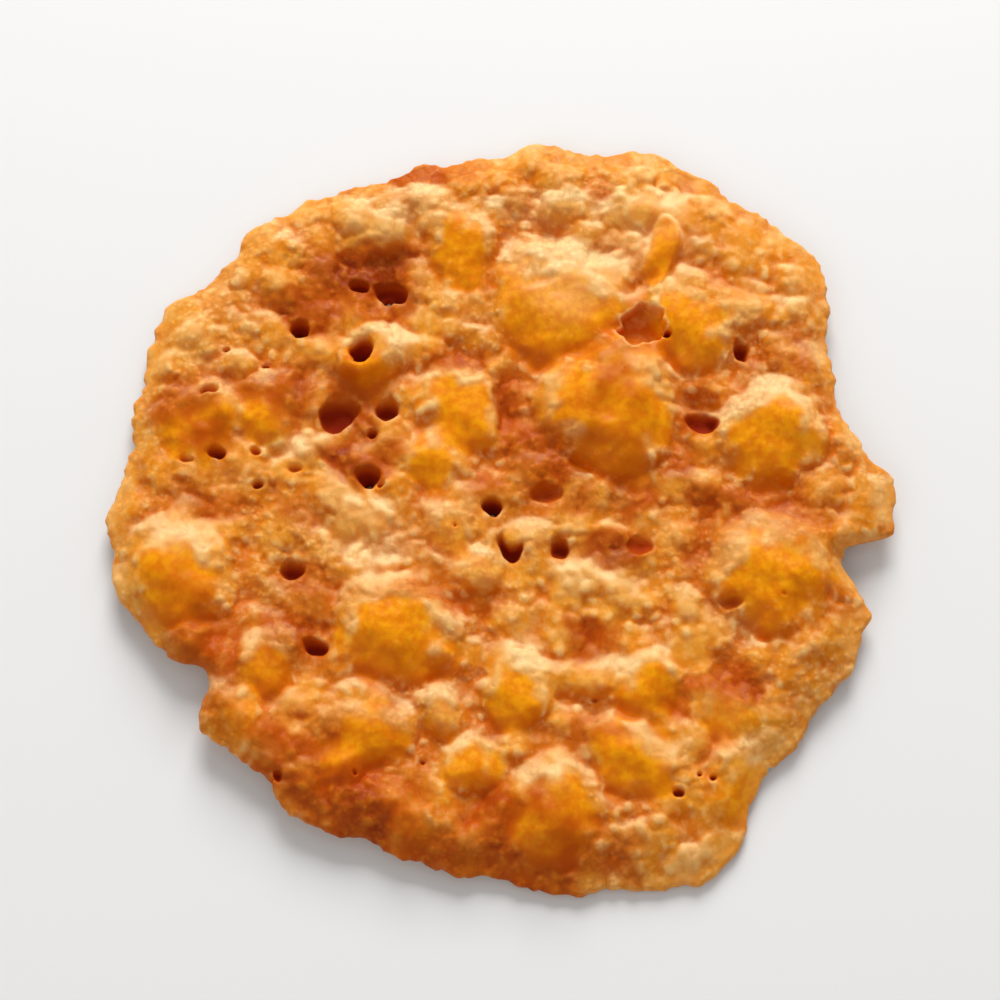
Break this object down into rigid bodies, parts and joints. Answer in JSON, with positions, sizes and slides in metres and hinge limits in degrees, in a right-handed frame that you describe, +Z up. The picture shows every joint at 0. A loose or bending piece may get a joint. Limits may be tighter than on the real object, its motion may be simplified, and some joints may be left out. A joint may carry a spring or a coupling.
{
  "type": "lace cookie",
  "caption": "Round, thin, crisp lace cookie with domed blisters, burst bubbles, fine holes and a ragged, slightly lifted rim, lying on its flat underside.",
  "frame": {"origin": "middle of the cookie's box in plan, on the surface that it lies on", "axes": "+Z up, out of the blistered side; +X to the beak where the batter ran out; +Y away from the viewer"},
  "size_m": [0.079, 0.0786, 0.0057],
  "materials": {
    "caramel_crust": "baked sugar and butter crust: glossy amber blisters, sandy tan crumb between them"
  },
  "bodies": {
    "root": {"cookie": "caramel_crust"}
  },
  "joints": []
}
